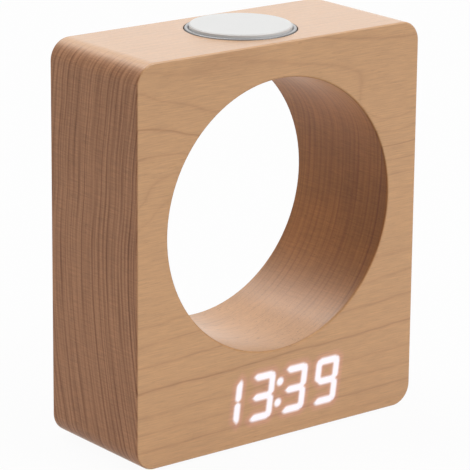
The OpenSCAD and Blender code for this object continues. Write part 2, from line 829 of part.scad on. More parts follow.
module usb_tongue() {
    color("#2b2b2b") slab(inlet_x, usb_z, usb_w - 2 * usb_tongue_side, usb_tongue_t,
        side_board_y + usb_back_t, plate_y - usb_tongue_sunk);
}

// Flat cables from the small boards to the main board, each with a bow of slack.
ribbon_t = 0.5;
ribbon_h = 5;
ribbon_bow = 1.5;
key_ribbon_up = 8.2;
power_ribbon_up = 0.7;
module ribbon(x, z) {
    y0 = board_back_y;
    y1 = side_board_y - board_t;
    steps = 12;
    path = [for (k = [0:steps]) [x + ribbon_bow * sin(180 * k / steps), y0 + (y1 - y0) * k / steps]];
    translate([0, 0, z - ribbon_h / 2]) linear_extrude(ribbon_h)
        polygon(concat(path, [for (k = [steps:-1:0]) path[k] + [ribbon_t, 0]]));
}

module ribbon_cables() {
    color("lightgray") {
        ribbon(side_board_mid - side_board_w / 2 + boss_edge, pocket_mid + key_ribbon_up);
        ribbon(-side_board_mid, pocket_mid + power_ribbon_up);
    }
}

// ---- Battery compartment ----

// The cells in a row point opposite ways, so that they join in series.
function cell_way(i, j) = (i + j) % 2 == 0 ? 1 : -1;

module battery_cells() {
    color("goldenrod") for (i = [0, 1], j = [0, 1]) translate([0, cell_y[i], cell_z[j]])
        rotate([0, 90 * cell_way(i, j), 0]) {
            translate([0, 0, -cell_l / 2]) cylinder(d = cell_d, h = cell_l - cell_tip_l);
            translate([0, 0, cell_l / 2 - cell_tip_l]) cylinder(d = cell_tip_d, h = cell_tip_l);
        }
}

module contact_plate(way) {
    translate([way * (box_in_half - contact_t / 2), 0, 0])
        cube([contact_t, contact_side, contact_side], center = true);
}

module plate_contacts() {
    color("silver") for (i = [0, 1], j = [0, 1]) translate([0, cell_y[i], cell_z[j]]) {
        way = cell_way(i, j);
        contact_plate(way);
        translate([way * (box_in_half - contact_t), 0, 0]) rotate([0, -90 * way, 0])
            cylinder(d = contact_pip_d, h = contact_room - contact_t);
    }
}

module spring_contacts() {
    free = contact_room - contact_t - contact_wire;
    plate_x = box_in_half - contact_t - contact_wire / 2 + slip;
    steps = 12;
    count = contact_turns * steps;
    color("silver") for (i = [0, 1], j = [0, 1]) translate([0, cell_y[i], cell_z[j]]) {
        way = -cell_way(i, j);
        contact_plate(way);
        wire([for (k = [0:count])
            let (p = polar(contact_r0 + (contact_r1 - contact_r0) * k / count, 360 * k / steps))
            [way * (plate_x - free * k / count), p[0], p[1]]], contact_wire, 6);
    }
}

module battery_lead() {
    x0 = -box_half - lead_d / 2;
    front = board_back_y + socket_l + battery_lead_arch;
    color("firebrick") wire([[x0, box_front_y + 4, socket_z], [x0, front + 1, socket_z],
        [(x0 + battery_socket_x) / 2, front, socket_z], [battery_socket_x, front - 0.6, socket_z],
        [battery_socket_x, board_back_y + 1.2, socket_z]], lead_d, 8);
}

module battery_door() {
    color("#303030") difference() {
        union() {
            slab((hinge_x + door_end_x) / 2, pocket_mid, door_end_x - hinge_x, door_h, door_in_y, plate_y);
            translate([hinge_x, hinge_y, pocket_mid - door_h / 2]) cylinder(d = door_t, h = door_h);
            translate([hinge_x, hinge_y, pocket_mid - door_h / 2 - hinge_pin_l])
                cylinder(d = hinge_pin_d, h = door_h + 2 * hinge_pin_l);
        }
        translate([door_end_x - finger_in, plate_y + finger_d / 2 - finger_deep, pocket_mid])
            sphere(d = finger_d);
    }
}

// ---- Top button ----

module at_button() {
    translate([button_x, button_y, 0]) children();
}

// A ring given by its outer and inner radius.
module ring(r_out, r_in, z0, z1) {
    translate([0, 0, z0]) difference() {
        cylinder(r = r_out, h = z1 - z0);
        translate([0, 0, -reach]) cylinder(r = r_in, h = z1 - z0 + 2 * reach);
    }
}

module button_cup() {
    color("#303030") at_button() difference() {
        union() {
            translate([0, 0, seat_z]) cylinder(r = bezel_r, h = cup_floor);
            ring(bezel_r, cup_bore_r, cup_floor_z, cup_rim_z);
            for (a = [90:120:330]) rotate([0, 0, a]) translate([cup_rest_r, 0, cup_floor_z])
                cylinder(d = cup_rest_d, h = rest_h);
        }
        for (x = [-1, 1]) translate([x * cup_screw_r, 0, seat_z - reach])
            cylinder(d = screw_d + 2 * screw_play, h = cup_floor + 2 * reach);
        // The notch that lets the lead in
        translate([-bezel_r - reach, seat_entry_y - slope_bore_d / 2, cup_floor_z + slip])
            cube([bezel_r / 2, slope_bore_d, cup_rim_z - cup_floor_z]);
    }
}

module cup_screws() {
    color("silver") at_button() for (x = [-1, 1]) translate([x * cup_screw_r, 0, cup_floor_z])
        screw(cup_floor + cup_bite);
}

// The bezel's lip keeps the cap's flange in.
module button_bezel() {
    bezel_top = top_z + bezel_proud;
    round_r = bezel_w * 0.3;
    recess_r = flange_r + flange_clear;
    recess_top = flange_top + rest_gap;
    color("silver") at_button() rotate_extrude($fn = 96) difference() {
        union() {
            translate([bezel_bore_r, cup_rim_z]) square([bezel_w, bezel_top - cup_rim_z - round_r]);
            translate([bezel_bore_r + round_r, cup_rim_z])
                square([bezel_w - 2 * round_r, bezel_top - cup_rim_z]);
            for (r = [bezel_bore_r + round_r, bezel_r - round_r])
                translate([r, bezel_top - round_r]) circle(r = round_r);
        }
        translate([bezel_bore_r - reach, cup_rim_z - reach])
            square([recess_r - bezel_bore_r + reach, recess_top - cup_rim_z + reach]);
    }
}

module button_board() {
    color("darkgreen") at_button() difference() {
        translate([0, 0, button_board_z]) cylinder(r = cup_bore_r - button_board_clear, h = button_board_t);
        for (x = [-1, 1]) translate([x * cup_screw_r, 0, button_board_z - reach])
            cylinder(d = screw_head_d + 2 * button_board_clear, h = button_board_t + 2 * reach);
    }
}

module button_switch() {
    color("#2b2b2b") at_button() translate([-switch_side / 2, -switch_side / 2, button_board_top])
        cube([switch_side, switch_side, button_switch_h - button_travel - rest_gap]);
}

module button_plunger() {
    color("dimgray") at_button() translate([0, 0, button_switch_top])
        cylinder(d = plunger_d, h = plunger_h);
}

module button_spring() {
    steps = 16;
    height = cap_under - button_board_top - spring_wire - 2 * slip;
    color("silver") at_button() wire([for (k = [0:spring_turns * steps])
        let (p = polar(spring_d / 2, 360 * k / steps))
        [p[0], p[1], button_board_top + slip + spring_wire / 2 + height * k / (spring_turns * steps)]],
        spring_wire, 6);
}

module button_cap() {
    color("gainsboro") at_button() {
        rotate_extrude($fn = 96) {
            polygon([[0, cap_under], [cap_d / 2, cap_under], [cap_d / 2, cap_top - cap_chamfer],
                [cap_d / 2 - cap_chamfer, cap_top], [0, cap_top]]);
            translate([cap_d / 2 - flange_w, flange_top - flange_t]) {
                square([flange_w, cap_under - flange_top + flange_t]);
                square([flange_r - cap_d / 2 + flange_w, flange_t]);
            }
        }
        translate([0, 0, plunger_top]) cylinder(d = cap_stem_d, h = cap_under - plunger_top);
    }
}

module button_lead() {
    solder_z = button_board_top + lead_d / 2 + slip;
    drop = tan(channel_slope);
    color("black") wire([
        [seat_entry_x + 6, channel_y, solder_z], [seat_entry_x + 2.4, channel_y, solder_z],
        [seat_entry_x - 1, channel_y, seat_entry_z - drop],
        [limb_x + 8, channel_y, elbow_z + 8 * drop], [limb_x + 2, channel_y, elbow_z + 1.2 * drop],
        [limb_x, channel_y, elbow_z - 2], [limb_x, channel_y, opening_z], [limb_x, channel_y, pocket_z1],
        [limb_x + 0.4, channel_y, pocket_mid + 2], [limb_x + 3, channel_y + 0.6, pocket_mid],
        [button_socket_x - 3, board_back_y + socket_l + 2, socket_z + 0.6],
        [button_socket_x, board_back_y + socket_l + 1, socket_z],
        [button_socket_x, board_back_y + socket_l, socket_z],
        [button_socket_x, board_back_y + 1.2, socket_z]], lead_d, 8);
}

wood_block();
channel_plug();
feet();
light_film();
display_reflector();
lit_segments();
dark_segments();
led_chips();
display_substrate();
display_pins();
main_board();
board_screws();
clock_chip();
driver_chip();
crystal();
regulator();
capacitor();
buzzer();
lead_sockets();
ribbon_cables();
back_housing();
housing_screws();
key_board();
power_board();
panel_screws();
key_switches();
set_key();
up_key();
down_key();
alarm_switch();
alarm_knob();
usb_shell();
usb_tongue();
battery_cells();
spring_contacts();
plate_contacts();
battery_lead();
battery_door();
button_cup();
cup_screws();
button_bezel();
button_board();
button_switch();
button_plunger();
button_spring();
button_cap();
button_lead();
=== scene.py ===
"""The looks of a wooden block alarm clock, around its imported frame."""
from functools import cached_property
import math

import bpy
from mathutils import Matrix, Vector


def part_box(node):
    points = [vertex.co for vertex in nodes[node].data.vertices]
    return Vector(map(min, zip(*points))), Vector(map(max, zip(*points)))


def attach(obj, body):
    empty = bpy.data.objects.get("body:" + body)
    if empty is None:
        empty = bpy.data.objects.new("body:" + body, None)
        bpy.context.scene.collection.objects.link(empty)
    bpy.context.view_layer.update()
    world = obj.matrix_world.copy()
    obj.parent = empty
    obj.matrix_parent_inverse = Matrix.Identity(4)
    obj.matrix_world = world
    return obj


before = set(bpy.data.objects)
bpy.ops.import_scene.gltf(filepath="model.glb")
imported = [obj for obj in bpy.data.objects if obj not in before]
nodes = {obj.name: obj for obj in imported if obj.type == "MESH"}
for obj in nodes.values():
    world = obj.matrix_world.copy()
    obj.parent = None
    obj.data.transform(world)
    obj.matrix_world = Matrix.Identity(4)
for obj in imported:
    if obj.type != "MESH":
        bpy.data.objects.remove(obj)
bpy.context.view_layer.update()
MM = 0.001

# ---- Camera ----
# It looks down a little at the front and the left side, from far enough away that the
# block's upright edges stay nearly parallel.
CAMERA_PLACE = Vector((-540.14, -684.92, 316.96)) * MM
LOOK = Vector((0.59393, 0.75351, -0.28191)).normalized()
NEARLY_UP = Vector((0.16703, 0.22729, 0.95940))
RIGHTWARD = LOOK.cross(NEARLY_UP).normalized()
UPWARD = RIGHTWARD.cross(LOOK).normalized()
camera_data = bpy.data.cameras.new("camera")
camera_data.sensor_width = 36
camera_data.lens = 224.92
camera = bpy.data.objects.new("camera", camera_data)
bpy.context.scene.collection.objects.link(camera)
turn = Matrix((RIGHTWARD, UPWARD, -LOOK)).transposed().to_4x4()
camera.matrix_world = Matrix.Translation(CAMERA_PLACE) @ turn
bpy.context.scene.camera = camera

# ---- Wooden block ----
# One piece of pale hardwood, milled and sanded, with its grain from side to side and a thin
# satin lacquer. Its rings curve about a line in front of the face, so the face is flat-sawn
# and the two ends show the rings edge on.
block_low, block_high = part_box("wood_block")
FRONT = block_low.y / MM
TOP = block_high.z / MM


class Wire:
    """A socket in a recipe's node tree. Arithmetic on it adds Math nodes."""

    def __init__(self, recipe, socket):
        self.recipe, self.socket = recipe, socket

    def math(self, operation, *others):
        inputs = dict(enumerate((self, *others)))
        return self.recipe.node("ShaderNodeMath", {"operation": operation}, inputs)

    def __add__(self, other):
        return self.math("ADD", other)

    def __sub__(self, other):
        return self.math("SUBTRACT", other)

    def __rsub__(self, other):
        return self.math("MULTIPLY_ADD", -1, other)

    def __mul__(self, other):
        return self.math("MULTIPLY", other)

    def __truediv__(self, other):
        return self.math("DIVIDE", other)

    def __rtruediv__(self, other):
        return self.math("POWER", -1) * other

    __radd__ = __add__
    __rmul__ = __mul__

    def __neg__(self):
        return self.math("MULTIPLY", -1)

    def __abs__(self):
        return self.math("ABSOLUTE")

    def root(self):
        return self.math("SQRT")

    def sine(self):
        return self.math("SINE")

    def above(self, other):
        """1 where this is more than the other, and 0 elsewhere."""
        return self.math("GREATER_THAN", other)

    def lower(self, other):
        return self.math("MINIMUM", other)

    def upper(self, other):
        return self.math("MAXIMUM", other)

    def rounded(self, other, size):
        """The greater of the two, with a rounded corner where they meet."""
        return self.math("SMOOTH_MAX", other, size)

    def step(self, low, high):
        """0 below low and 1 above high, with a smooth rise between."""
        inputs = {"Value": self, "From Min": low, "From Max": high}
        return self.recipe.node("ShaderNodeMapRange", {"interpolation_type": "SMOOTHSTEP"}, inputs)


class Recipe:
    """A node tree, and the one method that adds nodes to it."""

    def __init__(self, tree):
        self.tree = tree

    def put(self, socket, value):
        if isinstance(value, Wire):
            self.tree.links.new(value.socket, socket)
        elif socket.type == "RGBA":
            socket.default_value = (*value, 1)
        else:
            socket.default_value = value

    def node(self, kind, settings, inputs, output=0):
        made = self.tree.nodes.new(kind)
        for name, value in settings.items():
            setattr(made, name, value)
        for name, value in inputs.items():
            self.put(made.inputs[name], value)
        return Wire(self, made.outputs[output])


class Finish(Recipe):
    """A material with one Principled shader."""

    def __init__(self, name, **sockets):
        self.material = bpy.data.materials.new(name)
        self.material.use_nodes = True
        super().__init__(self.material.node_tree)
        self.shader = self.tree.nodes["Principled BSDF"]
        self.set(**sockets)

    def set(self, **sockets):
        for name, value in sockets.items():
            self.put(self.shader.inputs[name.replace("_", " ")], value)

    def on(self, *names):
        """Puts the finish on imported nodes."""
        for name in names:
            mesh = nodes[name].data
            mesh.materials.clear()
            mesh.materials.append(self.material)

    @cached_property
    def spot(self):
        """Object coordinates in millimetres, as a vector."""
        return self.tint(self.node("ShaderNodeTexCoord", {}, {}, "Object"), 1 / MM)

    def part(self, vector, axis):
        """A vector's X, Y or Z."""
        return self.node("ShaderNodeSeparateXYZ", {}, {0: vector}, axis)

    def noise(self, vector, detail, roughness):
        """Noise from about -0.5 to 0.5, with one cell per unit of vector."""
        inputs = {"Vector": vector, "Scale": 1.0, "Detail": detail, "Roughness": roughness}
        return self.node("ShaderNodeTexNoise", {}, inputs) - 0.5

    def grain(self, cell, shift=(0, 0, 0), detail=2.0, roughness=0.5):
        """Noise in cells of that size in millimetres along X, Y and Z, shifted by whole cells."""
        scale = tuple(1 / side for side in cell)
        inputs = {"Vector": self.spot, "Scale": scale, "Location": shift}
        return self.noise(self.node("ShaderNodeMapping", {}, inputs), detail, roughness)

    def mix(self, factor, a, b):
        """Colour a where the factor is 0, and colour b where it is 1."""
        return self.node("ShaderNodeMix", {"data_type": "RGBA"}, {0: factor, 6: a, 7: b}, 2)

    def tint(self, color, factor):
        """A colour or vector, multiplied by a value."""
        inputs = {0: color, "Scale": factor}
        return self.node("ShaderNodeVectorMath", {"operation": "SCALE"}, inputs)

    def join(self, a, b):
        """The sum of two colours."""
        return self.node("ShaderNodeVectorMath", {"operation": "ADD"}, {0: a, 1: b})

    def bump(self, height, distance, strength):
        """A surface that stands so many millimetres proud where the height is 1."""
        inputs = {"Height": height, "Distance": distance * MM, "Strength": strength}
        return self.node("ShaderNodeBump", {}, inputs, "Normal")


def srgb(*levels):
    """A colour given by its screen levels from 11 to 255."""
    return tuple(((level / 255 + 0.055) / 1.055) ** 2.4 for level in levels)


# Each growth ring: how deep it lies behind the front's outermost ring, and how dark it is
RINGS = (
    (0.75, 0.3), (1.45, 0.4), (2.57, 0.6), (4.15, 1.0), (6.06, 0.4), (7.6, 0.35),
    (9.3, 0.6), (11.0, 0.25), (12.4, 0.4), (15.0, 0.7), (17.0, 0.5), (19.3, 0.6),
    (22.5, 0.7), (24.8, 0.35), (27.9, 0.6), (31.0, 0.35), (33.5, 0.6), (36.3, 0.5),
    (39.0, 0.6), (41.3, 0.5), (44.2, 0.6), (46.6, 0.4), (49.5, 0.6), (52.0, 0.5),
)
# The rings' radius at the front, the height of their middle, and how they slant along X
RING_RADIUS, RING_MIDDLE, RING_SLANT = 170, 65, 0.0061
# Near the top the rings shift by this much, between these two heights
SHIFT, SHIFT_FROM, SHIFT_TO = 0.42, 78, 92
# Where the rings swell or dip round the tree's old branches: by how much, at which X and Z,
# and how far along X and Z
SWELLS = ((5, 44, 98, 20, 10), (-3, -20, 130, 25, 6), (-1.2, -58, 118, 8, 6),
          (1.3, -24, 106, 10, 6), (1.2, -58, 84, 7, 8))
# How wide a ring's dark line is on the long grain at the middle height, what each millimetre
# away from there adds, and how wide it is on the end grain
LINE_WIDTH, LINE_WIDENS, END_LINE_WIDTH = 0.02, 0.0012, 0.28
# The height of the round opening's middle, and its radius out to where its edge is rounded
HOLE_Z, HOLE_RADIUS = 72.0, 42.9
# Early wood and late wood on the long grain and on the end grain, and early wood in the milled
# opening, more saturated there as painted shade
PALE, LATE = srgb(211, 160, 110), srgb(169, 116, 71)
END_PALE, END_LATE = srgb(185, 132, 94), srgb(126, 76, 43)
OPENING_SHADED_PALE = srgb(184, 128, 72)
# How strongly the rings and the fine lines between them show on the long and the end grain,
# and how much late wood the end grain has between its lines
RINGS_SHOW, FINE_SHOW = 0.62, 0.12
END_RINGS_SHOW, END_FINE_SHOW, END_BETWEEN = 0.9, 1.8, 0.12
# How much painted shade darkens the opening, and how far the milling hid the rings there
OPENING_PAINTED_SHADE, RINGS_HIDDEN = 0.36, 0.58
# Painted light makes the opening's upper part lighter by this share, between these two heights
UPPER_PAINTED_LIGHT, UPPER_FROM, UPPER_TO = 0.30, 74, 104
# The share of painted shade that darkens the opening's rounded edge and its floor
EDGE_PAINTED_SHADE, FLOOR_PAINTED_SHADE = 0.07, 0.06
# Painted shade darkens the wood by this share for each millimetre above this height
HEIGHT_PAINTED_SHADE, EVEN_HEIGHT = 0.0007, 60

wood = Finish("sanded_hardwood")
facing = wood.node("ShaderNodeNewGeometry", {}, {}, "Normal")
x, y, z = (wood.part(wood.spot, axis) for axis in "XYZ")
face_x, face_y, face_z = (wood.part(facing, axis) for axis in "XYZ")
end_grain = abs(face_x).step(0.2, 0.9)
long_grain = 1 - end_grain
behind = y - FRONT

# The rings are shells round one line, and they wander a little.
away_y = behind + RING_RADIUS
away_z = z - RING_MIDDLE
depth = (away_y * away_y + away_z * away_z).root() - RING_RADIUS + x * RING_SLANT
depth = depth - z.step(SHIFT_FROM, SHIFT_TO) * SHIFT
for swell, at_x, at_z, wide, tall in SWELLS:
    off_x = (x - at_x) / wide
    off_z = (z - at_z) / tall
    depth = depth + ((off_x * off_x + off_z * off_z) * -0.5).math("EXPONENT") * swell
depth = depth + wood.grain((26, 9, 9)) * 0.42
depth = depth + wood.grain((7, 1.6, 1.6), (3, 7, 1), detail=1.0) * (0.10 + end_grain * 0.12)
line_width = (LINE_WIDTH + abs(away_z) * LINE_WIDENS) * long_grain + end_grain * END_LINE_WIDTH
sharpness = 1 / (line_width * line_width)
late_wood = 0
for ring, strength in RINGS:
    off = depth - ring
    late_wood = strength / (off * off * sharpness + 1) + late_wood
late_wood = late_wood * (1 + wood.grain((30, 20, 20), (5, 1, 8), detail=1.0) * 0.9)
along_rings = {"X": depth * 1.1, "Y": x * 0.016, "Z": z * 0.03}
fine_rings = wood.noise(wood.node("ShaderNodeCombineXYZ", {}, along_rings), 2.0, 0.6)

# Fibres, flecks and pores lie along the grain. Rays and dashes are cut across at the ends.
fibre = wood.grain((7, 0.36, 0.36), detail=3.0, roughness=0.55)
streak = wood.grain((38, 1.5, 1.5), (4, 2, 9))
patch = wood.grain((22, 9, 9), (9, 2, 4))
fleck = wood.grain((2.6, 0.34, 0.34), (7, 1, 3), detail=1.0).step(0.16, 0.24)
rays = wood.grain((0.5, 7, 0.42), (0, 3, 0), roughness=0.6)
dash = wood.grain((0.3, 2.6, 0.32), (2, 6, 5), detail=1.0).step(0.17, 0.24)
pores = wood.grain((2.0, 0.28, 0.28), (6, 6, 2))
mottle = wood.grain((1.1, 1.1, 1.1), (8, 3, 1), roughness=0.6)

# Painted shade darkens the opening, its rounded edge and its floor, and painted light makes its
# upper part lighter. Less lacquer is on the opening's floor, little where the wood hangs over, and
# none on its edge.
hole_z = z - HOLE_Z
milled = 1 - (x * x + hole_z * hole_z).root().step(HOLE_RADIUS, HOLE_RADIUS + 0.5)
upper_part = z.step(UPPER_FROM, UPPER_TO) * behind.step(0.4, 1.4)
overhang = milled * (1 - face_z.step(-0.4, 0.3))
opening_floor = milled * face_z.step(0.72, 0.98)
opening_edge = milled * (1 - behind.step(0.1, 0.8)) * long_grain

# The tone is early wood with some late wood in it. The shade then lightens or darkens it, by a
# share of the tone for each of the patterns, and adds painted light and shade in the opening and
# towards the top.
face_wood = wood.mix(late_wood * RINGS_SHOW + fine_rings * FINE_SHOW, PALE, LATE)
end_lines = late_wood * END_RINGS_SHOW + fine_rings * END_FINE_SHOW
# The opening's end grain is darkened and saturated with painted shade.
end_late = end_lines * (1 - milled * RINGS_HIDDEN) + milled * OPENING_PAINTED_SHADE + END_BETWEEN
end_wood = wood.mix(end_late, wood.mix(milled, END_PALE, OPENING_SHADED_PALE), END_LATE)
tone = wood.mix(end_grain, face_wood, end_wood)
face_shade = (fibre * 0.46 + streak * 0.08 + patch * 0.10 + mottle * 0.10
              - fleck * (0.10 + milled * 0.34))
end_shade = rays * 0.6 + patch * 0.12 + pores * 0.25 + mottle * 0.12 - dash * 0.24
# Painted shade: the sides grow darker towards the top.
painted_shade_higher_up = (z - EVEN_HEIGHT) * (1 - abs(face_z)) * HEIGHT_PAINTED_SHADE
# Random patches in the opening, with painted light on its upper part and painted shade on its edge
# and floor.
opening_patch_and_painted_light = (milled * (upper_part * UPPER_PAINTED_LIGHT + patch * 0.25)
                 - opening_edge * EDGE_PAINTED_SHADE - opening_floor * FLOOR_PAINTED_SHADE)
shade = 1 + face_shade * long_grain + end_shade * end_grain + opening_patch_and_painted_light - painted_shade_higher_up
relief = fibre * 0.6 + late_wood * -0.2 + pores * end_grain * 0.8
lacquer = ((0.95 + mottle * 0.8 - fleck * (0.5 + milled * 0.3)) * long_grain
           * (1 - opening_edge.upper(overhang * 0.7)) * (1 - opening_floor * 0.28))

# ---- Digits that shine through the wood ----
# The wood in front of the display is thin enough for the lit segments to show on its face.
# The light spreads in the wood, so each stroke is wider than its segment and has a soft
# pink edge. The bright core is a skin on the face.
DIGITS = 4
DIGIT_STEP = 12.8
DIGIT_HALF_W = 3.5
DIGIT_HALF_H = 6.43
DIGIT_CORNER = 1.65
STROKE_HALF = 1.23
STROKE_LEAN = 0.132
# The strokes' ends: the slope of an upright's inner end, how round they are, and how much
# further they reach than a sharp mitre
TIP_SLOPE, TIP_ROUND, TIP_REACH = 0.67, 0.9, 0.18
# The two dots: how far right of the middle, how far above and below it, and their radius
DOTS_X, DOTS_RISE, DOT_RADIUS = 0.34, 3.33, 1.37
# Over what distance the light fades at an edge, and where the pink light starts and ends
EDGE_FADE, HALO_FROM, HALO_TO = 0.56, 0.3, 2.4
# The light's colour at a stroke's edge, what its core adds to that, and the light round it
EDGE_GLOW = (0.42, 0.47, 0.50)
CORE_GLOW = (0.08, 0.17, 0.33)
HALO_GLOW = (0.070, 0.010, 0.045)
# The time stands this far to the left of the light film's middle, and above it
GLOW_LEFT, GLOW_UP = 0.45, 0.18
film_low, film_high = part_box("light_film")
GLOW_X = (film_low.x + film_high.x) / 2 / MM - GLOW_LEFT
GLOW_Z = (film_low.z + film_high.z) / 2 / MM + GLOW_UP
# A distance that lies far outside every stroke
FAR = 20
ROOT_HALF = math.sqrt(0.5)

# Each shape is the distance from a stroke's outline, which is below 0 inside it.
lean_x = x - GLOW_X - (z - GLOW_Z) * STROKE_LEAN
digit = (lean_x / DIGIT_STEP + DIGITS / 2).math("FLOOR")
u = lean_x - (digit - (DIGITS - 1) / 2) * DIGIT_STEP
v = abs(z - GLOW_Z)
wide_u = abs(u)
side_u = abs(wide_u - DIGIT_HALF_W)
corner_line = DIGIT_HALF_W + DIGIT_HALF_H + 2 * STROKE_HALF - DIGIT_CORNER
corner = (wide_u + v - corner_line) * ROOT_HALF
mitre = (wide_u - v - (DIGIT_HALF_W - DIGIT_HALF_H)) * ROOT_HALF
inner_tip = (side_u * TIP_SLOPE - v) / math.hypot(1, TIP_SLOPE) - TIP_REACH / 2
middle_tip = (wide_u + v - DIGIT_HALF_W) * ROOT_HALF - TIP_REACH / 2
level_bar = abs(v - DIGIT_HALF_H) - STROKE_HALF
level_bar = level_bar.rounded(mitre - TIP_REACH, TIP_ROUND).rounded(corner, TIP_ROUND)
upright = (side_u - STROKE_HALF).rounded(-mitre - TIP_REACH, TIP_ROUND)
upright = upright.rounded(corner - TIP_REACH, TIP_ROUND).rounded(inner_tip, TIP_ROUND)
middle_bar = (v - STROKE_HALF).rounded(middle_tip, TIP_ROUND)
dots_u = lean_x - DOTS_X
dots_v = v - DOTS_RISE
dots = (dots_u * dots_u + dots_v * dots_v).root() - DOT_RADIUS

# The time is 13:39. The 1 has only its right side, and the 9 also its upper left.
on_face = (-face_y).step(0.9, 0.99) * (1 - behind.step(0.2, 0.6))
inside = digit.above(-0.5) * (1 - digit.above(DIGITS - 0.5)) * on_face
not_one = digit.above(0.5)
right_side = u.above(0)
upper_left = digit.above(DIGITS - 1.5) * z.above(GLOW_Z) * (1 - right_side)
spread = 0
nearest = FAR
for shape, lit in ((level_bar, not_one), (middle_bar, not_one),
                   (upright, right_side + upper_left), (dots, 1)):
    spread = (1 - shape.step(-EDGE_FADE, EDGE_FADE)) * lit + spread
    nearest = (shape + (1 - lit) * FAR).lower(nearest)
spread = spread.lower(1) * inside
halo = (1 - nearest.step(HALO_FROM, HALO_TO)) * inside * (1 - spread)
shine = wood.join(wood.tint(EDGE_GLOW, spread), wood.tint(CORE_GLOW, spread * spread))
shine = wood.join(shine, wood.tint(HALO_GLOW, halo))

# Painted shade darkens the wood round the gap at the button's seat, which is a little wider than
# the button's ring.
SEAT_CLEARANCE = 0.3
SEAT_FLOOR = TOP - 14
SEAT_SHADE_SHARE = 0.35
bezel_low, bezel_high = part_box("button_bezel")
SEAT_X = (bezel_low.x + bezel_high.x) / 2 / MM
SEAT_Y = (bezel_low.y + bezel_high.y) / 2 / MM
SEAT_RADIUS = (bezel_high.x - bezel_low.x) / 2 / MM + SEAT_CLEARANCE
seat_x = x - SEAT_X
seat_y = y - SEAT_Y
in_seat = 1 - (seat_x * seat_x + seat_y * seat_y).root().step(SEAT_RADIUS, SEAT_RADIUS + 0.5)
# Painted shade on the seat's wall and rim, fading out towards the seat's floor.
seat_painted_shade = in_seat * z.step(SEAT_FLOOR, SEAT_FLOOR + 4)
wood.set(
    Base_Color=wood.tint(tone, shade * (1 - seat_painted_shade * SEAT_SHADE_SHARE)),
    Roughness=0.34 + fibre * 0.08 + end_grain * 0.14,
    Specular_IOR_Level=0.32,
    Coat_Weight=lacquer,
    Coat_Roughness=0.26,
    Normal=wood.bump(relief, 0.03, 0.5),
    Emission_Strength=1.0,
    Emission_Color=shine,
)
wood.on("wood_block", "channel_plug")

glow = Finish("glow_through_wood", Base_Color=srgb(158, 152, 154), Roughness=0.6,
              Emission_Strength=1.0)
glow_grain = glow.grain((4.0, 1.0, 0.3))
glow.set(Emission_Color=glow.tint((0.78, 0.73, 0.76), 1 + glow_grain * 0.06))

# The core's strokes lie this far inside the edge of the spread light, with this gap between
# them. They stand half in the wood.
INSET = 0.45
CORE_GAP = 0.3
CORE_BEVEL = 0.26
SKIN = 0.02
CORE_HALF = STROKE_HALF - INSET
CUT = DIGIT_CORNER - 2 * INSET + INSET / ROOT_HALF
OUTER_U, INNER_U = DIGIT_HALF_W + CORE_HALF, DIGIT_HALF_W - CORE_HALF
OUTER_V, INNER_V = DIGIT_HALF_H + CORE_HALF, DIGIT_HALF_H - CORE_HALF
CORNER_U, CORNER_V = OUTER_U - CUT / 2, OUTER_V - CUT / 2
END_U, END_V = INNER_U - CORE_GAP, CORE_HALF * TIP_SLOPE + CORE_GAP
TOP_BAR = ((CUT - OUTER_U, OUTER_V), (OUTER_U - CUT, OUTER_V), (CORNER_U - CORE_GAP, CORNER_V),
           (END_U, INNER_V), (-END_U, INNER_V), (CORE_GAP - CORNER_U, CORNER_V))
RIGHT_BAR = ((OUTER_U, OUTER_V - CUT), (CORNER_U, CORNER_V - CORE_GAP),
             (INNER_U, INNER_V - CORE_GAP), (INNER_U, END_V), (DIGIT_HALF_W, CORE_GAP),
             (OUTER_U, END_V))
MIDDLE_BAR = ((CORE_GAP - DIGIT_HALF_W, 0), (-END_U, CORE_HALF), (END_U, CORE_HALF),
              (DIGIT_HALF_W - CORE_GAP, 0), (END_U, -CORE_HALF), (-END_U, -CORE_HALF))
# Each segment's outline, and -1 where it is turned over sideways or upside down
SEGMENTS = {
    "a": (TOP_BAR, 1, 1), "b": (RIGHT_BAR, 1, 1), "c": (RIGHT_BAR, 1, -1),
    "d": (TOP_BAR, 1, -1), "f": (RIGHT_BAR, -1, 1), "g": (MIDDLE_BAR, 1, 1),
}


def deselect():
    bpy.ops.object.select_all(action="DESELECT")


def core_stroke(digit_x, letter):
    """A flat stroke with cut ends and eased corners, lying on the wood's face."""
    outline, flip_u, flip_v = SEGMENTS[letter]
    deselect()
    bpy.ops.mesh.primitive_circle_add(vertices=len(outline), radius=MM, fill_type="NGON")
    stroke = bpy.context.object
    for point, (along, up) in zip(stroke.data.vertices, outline):
        rise = up * flip_v
        across = GLOW_X + digit_x + along * flip_u + rise * STROKE_LEAN
        point.co = Vector((across, FRONT + SKIN, GLOW_Z + rise)) * MM
    bpy.ops.object.mode_set(mode="EDIT")
    bpy.ops.mesh.select_all(action="SELECT")
    bpy.ops.mesh.bevel(offset=CORE_BEVEL * MM, segments=4, affect="VERTICES")
    bpy.ops.mesh.select_all(action="SELECT")
    bpy.ops.mesh.extrude_region_move(TRANSFORM_OT_translate={"value": (0, -2 * SKIN * MM, 0)})
    bpy.ops.mesh.select_all(action="SELECT")
    bpy.ops.mesh.normals_make_consistent(inside=False)
    bpy.ops.object.mode_set(mode="OBJECT")
    return stroke


